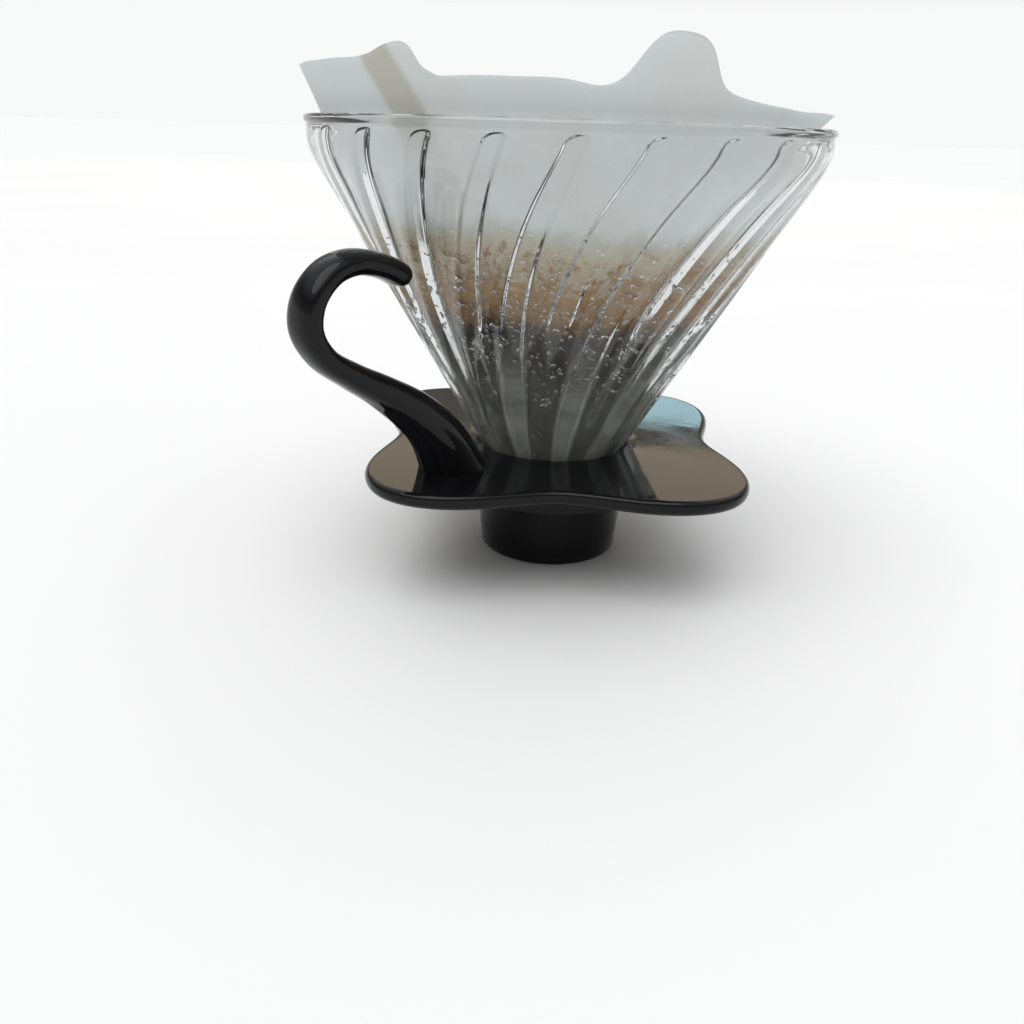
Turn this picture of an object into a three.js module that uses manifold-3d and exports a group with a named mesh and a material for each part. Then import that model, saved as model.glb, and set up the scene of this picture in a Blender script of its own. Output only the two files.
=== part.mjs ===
// Pour-over dripper: a fluted glass cone held in a moulded saucer with a hooked handle.
// Millimetres, +Z up. The handle points along -X. The finished group is centred on its
// footprint and stands on z = 0.
import * as THREE from 'three';
import { mergeVertices } from 'three/addons/utils/BufferGeometryUtils.js';
import Module from 'manifold-3d';

const wasm = await Module();
wasm.setup();

// ---------- driving dimensions ----------
const RIM_Z = 102; // height of the glass rim above the table
const RIM_R = 58; // outer radius of the glass rim
const RIM_BAND = 6; // straight band under the rim before the cone starts
const CONE_SLOPE = Math.tan(Math.PI / 6); // the cone has a 60 degree full angle
const WALL_H = 3.46; // glass wall measured horizontally (3 mm square to the wall)
const NECK_R = 11.8; // outer radius of the glass outlet neck
const OUTLET_R = 9; // bore of the outlet neck
const NECK_BOTTOM = 4;
const GLASS_LIP = 0.6; // small bevel on the edges of the rim and the neck
const RIM_INNER_BEVEL = 0.9;
const GAP = 0.3; // clearance between pieces that touch

const RIB_COUNT = 24;
const RIB_START = 0.8 * Math.PI / 180; // direction of the first rib at the rim
const RIB_TWIST = 28 * Math.PI / 180; // how far one rib travels round the cone
const RIB_TWIST_POWER = 1.7; // the twist is quick at the rim and dies out low down
const RIB_TOP = 4.5; // depth of a rib's arched top below the rim
const RIB_BOTTOM = 79; // depth of a long rib's foot below the rim
const SHORT_RIB_BOTTOM = 38; // every other rib stops here
const RIB_R_TOP = 2.3; // radius of a rib at the rim
const RIB_R_BOTTOM = 1.9; // and at the foot of a long rib
const RIB_STAND = 1.9; // how far a full rib stands off the inner wall
const RIB_TIP = 0.45; // share of its size a rib keeps at its two ends
const RIB_TAPER = 8; // and how quickly it reaches full size along its length

const PAPER_T = 0.6;
const PAPER_TIP_R = 2.4;
const PAPER_LEAN = 0.42; // outward lean of the paper above the rim, per mm of height
const PAPER_FLOP = 0.5; // extra lean where the edge flops over the rim
const PAPER_FLOP_AT = -56.5; // degrees
const PAPER_OVAL = 1.9; // how far the mouth spreads along its longer axis
const PAPER_OVAL_DEPTH = 2; // depth below the rim where the mouth is still round
const PAPER_OVAL_TURN = 138.5; // degrees
const PAPER_BASE_RISE = 6.2; // usual height of the paper edge above the rim
const PAPER_SAG = 3.6;
const PAPER_SAG_AT = -60.5; // this and the directions below are in degrees from +X
const PAPER_DIP = 0.9;
const PAPER_DIP_AT = -133;
const SEAM_EAR = 2.9; // extra height of the broad ear, and of its corner
const SEAM_EAR_FROM = 108;
const SEAM_EAR_TO = 193.3;
const SEAM_EAR_CORNER = 2.3;
const SEAM_EAR_CORNER_AT = 190.5;
const SIDE_EAR = 7.9;
const SIDE_EAR_FROM = -126.7;
const SIDE_EAR_TO = -112.5;

const BED_EDGE_DEPTH = 27; // where the grounds thin out against the paper, below the rim
const BED_CENTRE_DEPTH = 47; // bottom of the hollow in the spent bed
const BED_BANK = [[0, 1.6], [9, 4.2], [15, 9]]; // depth below the edge, and thickness there
const BED_FLOOR_R = 9; // the flatter middle of the hollow
const BED_FLOOR_RISE = 1.2;
const BED_FOOT_R = 2.6;

const SAUCER_TOP = 28.4;
const SAUCER_T = 3.5;
const SAUCER_LOBE_R = 55;
const SAUCER_NOTCH_R = 39.4;
const SAUCER_NOTCH_POWER = 0.95; // above 1 the lobes grow broad and the notches tight
const SAUCER_LOBES = 4;
const SAUCER_FACETS = 64;
const EDGE_ROUND = 1.4;

const HANDLE_HALF_W = 4.4; // the handle is a flattened bar, 8.8 mm wide and 5 mm thick
const HANDLE_HALF_T = 2.5;
const HANDLE_FLARE_W = 2.8; // what the root adds to those
const HANDLE_FLARE_T = 4.6;
const HANDLE_FLARE_START = 0.42; // share of the handle's length where the flare begins
const HANDLE_FLARE_POWER = 1.6;
const HANDLE_NOSE = 0.12; // the tip is rounded off: area share at the very end,
const HANDLE_NOSE_GROWTH = 22; // and its growth along the length
const HANDLE_CLEAR_R = 21.4; // the root is cut back to this radius, clear of the glass,
const HANDLE_CLEAR_RISE = 12; // and over this height the cut opens out with the cone
const HANDLE_CLEAR_GROW = 6;

const HUB_TOP_R = 24.8; // where the flared top of the hub meets the saucer
const HUB_FLARE_R = 22.4;
const HUB_FLARE_DROP = 3; // the flare starts this far under the saucer
const HUB_WAIST_R = 18.6;
const HUB_WAIST_Z = 12;
const PLATE_HOLE_R = 21.9; // hole in the saucer plate, filled by the hub
const PLATE_SINK = 1; // how far the hub and the locating ring run up into the plate
const GASKET_T = 2.0; // seat gasket, measured horizontally
const GASKET_COVER = 2; // thickness of the lip that hides the gasket
const SHELF_Z = 22;
const SHELF_R = 15.7; // bore of the hub below the shelf
const SHELF_FOOT_Z = 18.4; // below here the bore narrows to the shoulder
const SHOULDER_TOP = 15.8;
const SHOULDER_Z = 13.6;
const SHOULDER_R = 12.3;
const HUB_BORE_R = 14.9;
const HUB_BOTTOM_R = 17.6;
const LOCATOR_OUT_R = 30;
const LOCATOR_IN_R = 27.8;
const LOCATOR_Z = 19;

const RING_BORE_R = 12.1; // bore of the gland ring and the slip washer
const GLAND_T = 3;
const WASHER_T = 1;
const NUT_BOTTOM = 1;
const NUT_R = HUB_BORE_R - GAP;
const NUT_BORE_R = 12.2;
const NUT_SLOTS = 4;
const NUT_SLOT_W = 3.4;
const NUT_SLOT_H = 2.2;

const ROUND = 60; // facets round the glass cone and the turned parts of the holder
const PAPER_ROUND = 120; // facets round the paper, whose ears have steep sides
const SMALL_ROUND = 40; // facets round the seals, the lock ring and the bed

// ---------- helpers ----------
const v2 = (r, z) => new THREE.Vector2(r, z);

// Outer radius of the glass cone at height z.
const coneR = (z) => RIM_R - Math.max(0, RIM_Z - RIM_BAND - z) * CONE_SLOPE;

// Outer radius of the paper: it lies on the rib crests.
const paperR = (z) => coneR(z) - WALL_H - RIB_STAND - GAP;

const coneZ = (r) => RIM_Z - RIM_BAND - (RIM_R - r) / CONE_SLOPE;

// LatheGeometry turns about Y; this stands the result up on Z.
function turned(points, segments = ROUND) {
  return new THREE.LatheGeometry(points, segments).rotateX(Math.PI / 2);
}

// A ring or tube: the profile is closed by repeating its first point.
function ringOf(points, segments = ROUND) {
  return turned([...points, points[0]], segments);
}

function toSolid(geometry) {
  const bare = geometry.clone();
  bare.deleteAttribute('normal');
  bare.deleteAttribute('uv');
  const welded = mergeVertices(bare, 1e-4);
  const mesh = new wasm.Mesh({
    numProp: 3,
    vertProperties: new Float32Array(welded.attributes.position.array),
    triVerts: new Uint32Array(welded.index.array),
  });
  return new wasm.Manifold(mesh);
}

function toGeometry(solid) {
  const mesh = solid.getMesh();
  const geometry = new THREE.BufferGeometry();
  geometry.setAttribute('position', new THREE.BufferAttribute(new Float32Array(mesh.vertProperties), 3));
  geometry.setIndex(new THREE.BufferAttribute(new Uint32Array(mesh.triVerts), 1));
  geometry.computeVertexNormals();
  return geometry;
}

// A bar swept along pathAt(t), t from 0 to 1, by moving the vertices of a capped cylinder.
// frameAt(t) gives two unit directions across the bar; sizeAt(t) gives its half sizes along them.
function sweptBar(pathAt, frameAt, sizeAt, sides, steps) {
  const bar = new THREE.CylinderGeometry(1, 1, 1, sides, steps);
  const position = bar.attributes.position;
  for (let i = 0; i < position.count; i += 1) {
    const t = position.getY(i) + 0.5;
    const [across, up] = frameAt(t);
    const [a, b] = sizeAt(t);
    const point = pathAt(t).clone();
    point.addScaledVector(across, position.getX(i) * a);
    point.addScaledVector(up, position.getZ(i) * b);
    position.setXYZ(i, point.x, point.y, point.z);
  }
  const solid = toSolid(bar);
  return solid.volume() > 0 ? solid : toSolid(flipped(bar));
}

function flipped(geometry) {
  const copy = geometry.clone();
  const order = copy.index.array;
  for (let i = 0; i < order.length; i += 3) {
    const first = order[i];
    order[i] = order[i + 1];
    order[i + 1] = first;
  }
  return copy;
}

function material(colour, roughness, metalness = 0) {
  return new THREE.MeshStandardMaterial({ color: colour, roughness, metalness });
}

const part = new THREE.Group();
part.name = 'pour_over_dripper';

function add(name, geometry, look) {
  const mesh = new THREE.Mesh(geometry, look);
  mesh.name = name;
  part.add(mesh);
  return mesh;
}

// ---------- glass cone ----------
function glassCone() {
  const neckTop = coneZ(NECK_R);
  const boreTop = coneZ(OUTLET_R + WALL_H);
  const wall = ringOf([
    v2(RIM_R - GLASS_LIP, RIM_Z),
    v2(RIM_R - WALL_H + RIM_INNER_BEVEL, RIM_Z),
    v2(RIM_R - WALL_H, RIM_Z - RIM_INNER_BEVEL),
    v2(RIM_R - WALL_H, RIM_Z - RIM_BAND),
    v2(OUTLET_R, boreTop),
    v2(OUTLET_R, NECK_BOTTOM + GLASS_LIP),
    v2(OUTLET_R + GLASS_LIP, NECK_BOTTOM),
    v2(NECK_R - GLASS_LIP, NECK_BOTTOM),
    v2(NECK_R, NECK_BOTTOM + GLASS_LIP),
    v2(NECK_R, neckTop),
    v2(RIM_R, RIM_Z - RIM_BAND),
    v2(RIM_R, RIM_Z - GLASS_LIP),
  ]);
  let solid = toSolid(wall);
  for (let k = 0; k < RIB_COUNT; k += 1) {
    const start = RIB_START + (k / RIB_COUNT) * Math.PI * 2;
    const foot = k % 2 === 1 ? RIB_BOTTOM : SHORT_RIB_BOTTOM;
    const depthAt = (t) => RIB_TOP + (foot - RIB_TOP) * t;
    const radiusAt = (t) => {
      const share = (depthAt(t) - RIB_TOP) / (RIB_BOTTOM - RIB_TOP);
      return RIB_R_TOP + (RIB_R_BOTTOM - RIB_R_TOP) * share;
    };
    const angleAt = (t) => {
      const left = 1 - depthAt(t) / RIB_BOTTOM;
      return start - RIB_TWIST * (1 - Math.max(0, left) ** RIB_TWIST_POWER);
    };
    const pathAt = (t) => {
      const z = RIM_Z - depthAt(t);
      const r = coneR(z) - WALL_H + radiusAt(t) - RIB_STAND;
      return new THREE.Vector3(r * Math.cos(angleAt(t)), r * Math.sin(angleAt(t)), z);
    };
    const frameAt = (t) => {
      const a = angleAt(t);
      const out = new THREE.Vector3(Math.cos(a), Math.sin(a), -CONE_SLOPE).normalize();
      return [out, new THREE.Vector3(-Math.sin(a), Math.cos(a), 0)];
    };
    const sizeAt = (t) => {
      const full = radiusAt(t) * Math.min(1, RIB_TIP + t * RIB_TAPER, RIB_TIP + (1 - t) * RIB_TAPER);
      return [full, full];
    };
    solid = solid.add(sweptBar(pathAt, frameAt, sizeAt, 5, 9));
  }
  return toGeometry(solid);
}

// ---------- paper filter ----------
// The paper's free edge, by direction round the cone (degrees from +X). A broad ear with a
// sharp corner stands over the handle, where the seam is, and a narrow one beside it.
// Opposite them the edge sags almost to the rim and flops outwards.
const turnFrom = (degrees, start) => ((degrees - start + 540) % 360) - 180;
const bump = (turn, width, power) => Math.exp(-(Math.abs(turn / width) ** power));

function paperRise(degrees) {
  const after = (start, width) => 1 / (1 + Math.exp(-turnFrom(degrees, start) / width));
  const sagTurn = turnFrom(degrees, PAPER_SAG_AT);
  const sag = PAPER_SAG * bump(sagTurn, sagTurn > 0 ? 70 : 50, 4);
  const dip = PAPER_DIP * bump(turnFrom(degrees, PAPER_DIP_AT), 5, 2);
  const corner = SEAM_EAR_CORNER * bump(turnFrom(degrees, SEAM_EAR_CORNER_AT), 7, 2);
  const seamEar = (SEAM_EAR + corner) * after(SEAM_EAR_FROM, 8) * (1 - after(SEAM_EAR_TO, 0.5));
  const sideEar = SIDE_EAR * after(SIDE_EAR_FROM, 1.45) * (1 - after(SIDE_EAR_TO, 1.5));
  return PAPER_BASE_RISE - sag - dip + seamEar + sideEar;
}

// How far the paper stands out from its round cone at a height above the rim.
function paperSpread(degrees, rise) {
  const oval = PAPER_OVAL * Math.sin((degrees + PAPER_OVAL_TURN) * Math.PI / 180) ** 2;
  const lean = PAPER_LEAN + PAPER_FLOP * bump(turnFrom(degrees, PAPER_FLOP_AT), 25, 2);
  return oval + rise * lean;
}

function paperFilter() {
  const tipZ = coneZ(PAPER_TIP_R + WALL_H + RIB_STAND + GAP);
  const bandZ = RIM_Z - RIM_BAND;
  const inside = (z) => paperR(z) - PAPER_T;
  const innerTipR = inside(tipZ + PAPER_T);
  const roundZ = RIM_Z - PAPER_OVAL_DEPTH;
  const rings = [0.5, 1];
  const outer = rings.map((s) => v2(paperR(RIM_Z), RIM_Z + s));
  const inner = rings.map((s) => v2(inside(RIM_Z), RIM_Z + s)).reverse();
  const sheet = turned([
    v2(0, tipZ),
    v2(PAPER_TIP_R, tipZ),
    v2(paperR(bandZ), bandZ),
    v2(paperR(roundZ), roundZ),
    v2(paperR(RIM_Z), RIM_Z),
    ...outer,
    ...inner,
    v2(inside(RIM_Z), RIM_Z),
    v2(inside(roundZ), roundZ),
    v2(inside(bandZ), bandZ),
    v2(innerTipR, tipZ + PAPER_T),
    v2(0, tipZ + PAPER_T),
  ], PAPER_ROUND);
  const position = sheet.attributes.position;
  for (let i = 0; i < position.count; i += 1) {
    const s = position.getZ(i) - RIM_Z;
    if (s < -GAP) {
      continue;
    }
    const degrees = Math.atan2(position.getY(i), position.getX(i)) * 180 / Math.PI;
    const rise = s * paperRise(degrees);
    const grow = 1 + paperSpread(degrees, rise) / paperR(RIM_Z);
    position.setXYZ(i, position.getX(i) * grow, position.getY(i) * grow, RIM_Z + rise);
  }
  return sheet;
}

// ---------- spent coffee bed ----------
function coffeeBed() {
  const edgeZ = RIM_Z - BED_EDGE_DEPTH;
  const centreZ = RIM_Z - BED_CENTRE_DEPTH;
  const side = (z) => paperR(z) - PAPER_T - GAP;
  const footZ = coneZ(BED_FOOT_R + WALL_H + RIB_STAND + GAP + PAPER_T + GAP);
  return turned([
    v2(0, footZ),
    v2(BED_FOOT_R, footZ),
    v2(side(edgeZ), edgeZ),
    ...BED_BANK.map(([depth, thick]) => v2(side(edgeZ - depth) - thick, edgeZ - depth)),
    v2(BED_FLOOR_R, centreZ + BED_FLOOR_RISE),
    v2(0, centreZ),
  ], SMALL_ROUND);
}

// ---------- holder: saucer, hub, locating ring and handle in one moulding ----------
function saucerOutline(inset) {
  const points = [];
  for (let i = 0; i < SAUCER_FACETS; i += 1) {
    const angle = (i / SAUCER_FACETS) * Math.PI * 2;
    const notch = ((1 - Math.cos(SAUCER_LOBES * angle)) / 2) ** SAUCER_NOTCH_POWER;
    const r = SAUCER_LOBE_R - (SAUCER_LOBE_R - SAUCER_NOTCH_R) * notch - inset;
    points.push(v2(r * Math.cos(angle), r * Math.sin(angle)));
  }
  return new THREE.Shape(points);
}

function saucerPlate() {
  const plate = new THREE.ExtrudeGeometry(saucerOutline(EDGE_ROUND), {
    depth: SAUCER_T - 2 * EDGE_ROUND,
    bevelEnabled: true,
    bevelThickness: EDGE_ROUND,
    bevelSize: EDGE_ROUND,
    bevelSegments: 2,
    curveSegments: 1,
  });
  plate.translate(0, 0, SAUCER_TOP - SAUCER_T + EDGE_ROUND);
  return toSolid(plate);
}

// Centre line of the handle in its own plane: distance from the cone axis, and height.
const HANDLE_LINE = new THREE.CatmullRomCurve3([
  new THREE.Vector3(-47.3, 0, 71.3),
  new THREE.Vector3(-51, 0, 73.6),
  new THREE.Vector3(-55.5, 0, 75.2),
  new THREE.Vector3(-60.5, 0, 75.8),
  new THREE.Vector3(-66, 0, 74.2),
  new THREE.Vector3(-70.3, 0, 69.6),
  new THREE.Vector3(-71.2, 0, 64),
  new THREE.Vector3(-68.2, 0, 58.6),
  new THREE.Vector3(-61.6, 0, 53.9),
  new THREE.Vector3(-53.8, 0, 49.3),
  new THREE.Vector3(-45.8, 0, 43.8),
  new THREE.Vector3(-38.9, 0, 36.6),
  new THREE.Vector3(-33.8, 0, 27.4),
], false, 'centripetal');

function handleBar() {
  const sideways = new THREE.Vector3(0, 1, 0);
  const pathAt = (t) => HANDLE_LINE.getPointAt(t);
  const frameAt = (t) => {
    const along = HANDLE_LINE.getTangentAt(t);
    return [sideways, new THREE.Vector3().crossVectors(along, sideways)];
  };
  const sizeAt = (t) => {
    const nose = Math.sqrt(Math.min(1, HANDLE_NOSE + t * HANDLE_NOSE_GROWTH));
    const share = Math.max(0, (t - HANDLE_FLARE_START) / (1 - HANDLE_FLARE_START));
    const flare = share ** HANDLE_FLARE_POWER;
    const halfW = HANDLE_HALF_W + HANDLE_FLARE_W * flare;
    const halfT = HANDLE_HALF_T + HANDLE_FLARE_T * flare;
    return [halfW * nose, halfT * nose];
  };
  return sweptBar(pathAt, frameAt, sizeAt, 10, 34);
}

function holder() {
  const underside = SAUCER_TOP - SAUCER_T;
  const seatR = (z) => coneR(z) + GASKET_T + 2 * GAP;
  const coverZ = SAUCER_TOP - GASKET_COVER;
  const hub = ringOf([
    v2(coneR(SAUCER_TOP) + GAP, SAUCER_TOP),
    v2(coneR(coverZ) + GAP, coverZ),
    v2(seatR(coverZ), coverZ),
    v2(seatR(SHELF_Z), SHELF_Z),
    v2(SHELF_R, SHELF_Z),
    v2(SHELF_R, SHELF_FOOT_Z),
    v2(SHOULDER_R, SHOULDER_TOP),
    v2(SHOULDER_R, SHOULDER_Z),
    v2(HUB_BORE_R, SHOULDER_Z),
    v2(HUB_BORE_R, 0),
    v2(HUB_BOTTOM_R, 0),
    v2(HUB_WAIST_R, HUB_WAIST_Z),
    v2(HUB_FLARE_R, underside - HUB_FLARE_DROP),
    v2(HUB_TOP_R, underside + PLATE_SINK),
    v2(HUB_TOP_R, SAUCER_TOP),
  ]);
  const hubRoom = turned([
    v2(0, underside - SAUCER_T),
    v2(PLATE_HOLE_R, underside - SAUCER_T),
    v2(PLATE_HOLE_R, SAUCER_TOP + SAUCER_T),
    v2(0, SAUCER_TOP + SAUCER_T),
  ]);
  const locator = ringOf([
    v2(LOCATOR_IN_R, underside + PLATE_SINK),
    v2(LOCATOR_IN_R, LOCATOR_Z),
    v2(LOCATOR_OUT_R, LOCATOR_Z),
    v2(LOCATOR_OUT_R, underside + PLATE_SINK),
  ]);
  const handleRoom = turned([
    v2(0, SHELF_Z),
    v2(HANDLE_CLEAR_R, SHELF_Z),
    v2(HANDLE_CLEAR_R, SAUCER_TOP),
    v2(HANDLE_CLEAR_R + HANDLE_CLEAR_GROW, SAUCER_TOP + HANDLE_CLEAR_RISE),
    v2(0, SAUCER_TOP + HANDLE_CLEAR_RISE),
  ]);
  const plate = saucerPlate().subtract(toSolid(hubRoom));
  const belowSaucer = new THREE.BoxGeometry(2 * SAUCER_LOBE_R, 2 * HUB_TOP_R, underside);
  belowSaucer.translate(0, 0, underside / 2 + GAP);
  const handle = handleBar().subtract(toSolid(handleRoom)).subtract(toSolid(belowSaucer));
  return toGeometry(plate.add(toSolid(hub)).add(toSolid(locator)).add(handle));
}

// ---------- seals and lock ring ----------
function seatGasket() {
  const low = SHELF_Z + GAP;
  const high = SAUCER_TOP - GASKET_COVER - GAP;
  return ringOf([
    v2(coneR(high) + GAP, high),
    v2(coneR(low) + GAP, low),
    v2(coneR(low) + GAP + GASKET_T, low),
    v2(coneR(high) + GAP + GASKET_T, high),
  ], SMALL_ROUND);
}

function flatRing(inner, outer, low, high) {
  return ringOf([v2(inner, high), v2(inner, low), v2(outer, low), v2(outer, high)], SMALL_ROUND);
}

const GLAND_TOP = SHOULDER_Z - GAP;
const WASHER_TOP = GLAND_TOP - GLAND_T - GAP;
const NUT_TOP = WASHER_TOP - WASHER_T - GAP;

function lockRing() {
  let solid = toSolid(flatRing(NUT_BORE_R, NUT_R, NUT_BOTTOM, NUT_TOP));
  for (let k = 0; k < NUT_SLOTS / 2; k += 1) {
    const slot = new THREE.BoxGeometry(4 * NUT_R, NUT_SLOT_W, NUT_SLOT_H * 2);
    slot.rotateZ((k / NUT_SLOTS) * Math.PI * 2);
    slot.translate(0, 0, NUT_BOTTOM);
    solid = solid.subtract(toSolid(slot));
  }
  return toGeometry(solid);
}

add('holder', holder(), material(0x17181a, 0.22));
add('glass_cone', glassCone(), material(0xdfe8ea, 0.05));
add('seat_gasket', seatGasket(), material(0x1d1d1f, 0.7));
add('gland_ring', flatRing(RING_BORE_R, NUT_R, GLAND_TOP - GLAND_T, GLAND_TOP), material(0x1d1d1f, 0.7));
add('slip_washer', flatRing(RING_BORE_R, NUT_R, WASHER_TOP - WASHER_T, WASHER_TOP), material(0xe6e6e2, 0.5));
add('lock_ring', lockRing(), material(0x17181a, 0.35));
add('paper_filter', paperFilter(), material(0xd5d9d8, 0.9));
add('coffee_bed', coffeeBed(), material(0x3a2a22, 0.85));

// Stand the part on z = 0 with its footprint centred on the origin.
const box = new THREE.Box3().setFromObject(part);
part.position.set(-(box.min.x + box.max.x) / 2, -(box.min.y + box.max.y) / 2, -box.min.z);

export default part;
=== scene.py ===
"""Looks for the pour-over dripper: fluted wet glass, filter paper, spent grounds and a
gloss black holder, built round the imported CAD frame. Shapes are worked out in millimetres
from the cone axis at table level, and stored in metres."""

import math
import random

import bpy
import numpy as np
from mathutils import Matrix, Vector


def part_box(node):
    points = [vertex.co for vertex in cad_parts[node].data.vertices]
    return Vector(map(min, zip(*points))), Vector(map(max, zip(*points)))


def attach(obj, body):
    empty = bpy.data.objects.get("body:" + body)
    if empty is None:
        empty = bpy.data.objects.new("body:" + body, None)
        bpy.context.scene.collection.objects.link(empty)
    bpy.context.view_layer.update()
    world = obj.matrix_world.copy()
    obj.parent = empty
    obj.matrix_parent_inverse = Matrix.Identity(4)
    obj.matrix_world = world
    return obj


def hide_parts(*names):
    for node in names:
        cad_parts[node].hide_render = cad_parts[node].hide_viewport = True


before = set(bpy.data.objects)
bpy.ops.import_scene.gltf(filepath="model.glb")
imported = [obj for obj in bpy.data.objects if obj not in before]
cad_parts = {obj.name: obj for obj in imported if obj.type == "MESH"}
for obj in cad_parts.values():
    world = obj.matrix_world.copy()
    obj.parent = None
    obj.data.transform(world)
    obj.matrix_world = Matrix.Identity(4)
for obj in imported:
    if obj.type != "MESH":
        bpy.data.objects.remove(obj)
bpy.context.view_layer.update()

# ------------------------------ shared dimensions (mm)
MM = 0.001
glass_low, glass_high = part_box("glass_cone")
AXIS_X = (glass_low[0] + glass_high[0]) / 2
RIM_Z = glass_high[2] / MM
RIM_R = (glass_high[0] - glass_low[0]) / 2 / MM
RIM_BAND = 6.0  # straight band under the rim before the cone starts
BAND_EASE = 1.8  # how gently the band bends into the cone
SLOPE = math.tan(math.pi / 6)
WALL = 3.46  # glass wall, measured horizontally
RIB_COUNT = 24
RIB_START = 0.8  # direction of the first rib at the rim, in degrees
RIB_TWIST = 28.0  # how far a rib travels round the cone, in degrees
TWIST_POWER = 1.7
RIB_FOOT = 79.0  # depth of a long rib's foot below the rim
RIB_STAND = 1.9  # how far the ribs keep the paper off the inner wall
SEAM_AT = 189.0  # direction of the paper's seam at the rim, in degrees
SEAM_LEAN = -0.5  # sideways travel of the seam per mm of height
SEAM_HALF = 4.7  # half the width of the seam
NECK_R = 11.8
OUTLET_R = 9.0
NECK_BOTTOM = 4.0
GAP = 0.3  # clearance between pieces that touch
SAUCER_TOP = 28.4
SAUCER_T = 3.5
UNDERSIDE = SAUCER_TOP - SAUCER_T
COVER_Z = SAUCER_TOP - 2.0  # underside of the lip that hides the gasket


def show(item):
    bpy.context.scene.collection.objects.link(item)
    return item


# ------------------------------ camera
CAMERA_AZIMUTH = -48.5  # angles in degrees, lengths in mm
CAMERA_DISTANCE = 220.0
CAMERA_DROP = -1.9  # height of the camera over the rim
CAMERA_PITCH = 23.03
CAMERA_ROLL = -1.88
CAMERA_YAW = -2.51
FOCAL_LENGTH = 0.87890625  # as a share of the frame's width
SENSOR = 36.0


def make_camera():
    pitch, roll, yaw = (math.radians(v) for v in (CAMERA_PITCH, CAMERA_ROLL, CAMERA_YAW))
    side = Vector((math.cos(yaw), -math.sin(yaw), 0))
    up = Vector(
        (math.sin(pitch) * math.sin(yaw), math.sin(pitch) * math.cos(yaw), math.cos(pitch))
    )
    ahead = Vector(
        (math.cos(pitch) * math.sin(yaw), math.cos(pitch) * math.cos(yaw), -math.sin(pitch))
    )
    right = side * math.cos(roll) - up * math.sin(roll)
    top = side * math.sin(roll) + up * math.cos(roll)
    turn = Matrix.Rotation(math.radians(CAMERA_AZIMUTH), 3, "Z")
    axes = Matrix((turn @ right, turn @ top, turn @ -ahead)).transposed()
    place = turn @ Vector((0, -CAMERA_DISTANCE, 0)) * MM
    place += Vector((AXIS_X, 0, (RIM_Z + CAMERA_DROP) * MM))
    data = bpy.data.cameras.new("camera")
    data.sensor_width = SENSOR
    data.lens = FOCAL_LENGTH * SENSOR
    data.clip_start = 0.01
    data.dof.use_dof = False
    camera = show(bpy.data.objects.new("camera", data))
    camera.matrix_world = Matrix.Translation(place) @ axes.to_4x4()
    bpy.context.scene.camera = camera


make_camera()


# ------------------------------ mesh helpers
def smooth(mesh, sharp=None):
    """Smooth shading, kept crisp at edges sharper than an angle in degrees."""
    mesh.shade_smooth()
    if sharp:
        mesh.set_sharp_from_angle(angle=math.radians(sharp))


def mesh_object(name, points, faces, material, sharp=None):
    """points are (x, y, z) rows in mm from the cone axis."""
    points = np.asarray(points, float) * MM
    points[:, 0] += AXIS_X
    mesh = bpy.data.meshes.new(name)
    mesh.from_pydata(points.tolist(), [], faces)
    mesh.validate()
    mesh.update()
    smooth(mesh, sharp)
    mesh.materials.append(material)
    return show(bpy.data.objects.new(name, mesh))


def grid_faces(rows, cols, loop_rows, start=0):
    """Quads over a grid whose columns close round; loop_rows closes the rows too."""
    quads = []
    last = rows if loop_rows else rows - 1
    for i in range(last):
        here = start + i * cols
        there = start + ((i + 1) % rows) * cols
        for j in range(cols):
            k = (j + 1) % cols
            quads.append((here + j, here + k, there + k, there + j))
    return quads


def around(radius, angle, height):
    """Stacks arrays of radius, angle and height into points."""
    radius, angle, height = np.broadcast_arrays(radius, angle, height)
    stack = np.stack([radius * np.cos(angle), radius * np.sin(angle), height], axis=-1)
    return stack.reshape(-1, 3)


def smoothstep(x):
    x = np.clip(x, 0, 1)
    return x * x * (3 - 2 * x)


def cone_r(z):
    """Outer radius of the glass: a straight band at the rim that eases into the cone."""
    below = RIM_Z - RIM_BAND - z
    return RIM_R - BAND_EASE * np.logaddexp(0, below / BAND_EASE) * SLOPE


def cone_z(r):
    return RIM_Z - RIM_BAND - (RIM_R - r) / SLOPE


def paper_r(z):
    return cone_r(z) - WALL - RIB_STAND - GAP


def twist(depth):
    """How far a rib has turned at this depth below the rim, in radians."""
    left = np.clip(1 - np.asarray(depth, float) / RIB_FOOT, 0, 1)
    return -math.radians(RIB_TWIST) * (1 - left**TWIST_POWER)


def ring_object(name, profile, material, segments=160, sharp=30):
    """A turned ring from a closed profile of (radius, height)."""
    angle = np.linspace(0, 2 * math.pi, segments, endpoint=False)
    profile = np.array(profile, float)
    points = around(profile[:, :1], angle[None, :], profile[:, 1:])
    faces = grid_faces(len(profile), segments, True)
    return mesh_object(name, points, faces, material, sharp)


def arc(cx, cz, r, first, last, steps):
    """Points on an arc, with angles in degrees."""
    turn = np.radians(np.linspace(first, last, steps))
    return [(cx + r * math.cos(t), cz + r * math.sin(t)) for t in turn]


# ------------------------------ material helpers
def fill(node, **values):
    """Sets unlinked inputs by name, with an underscore for a space."""
    for key, value in values.items():
        node.inputs[key.replace("_", " ")].default_value = value


def fill_ramp(node, stops):
    elements = node.color_ramp.elements
    while len(elements) < len(stops):
        elements.new(0.5)
    for element, (place, colour) in zip(elements, stops):
        element.position = place
        element.color = (*colour, 1)


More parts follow.
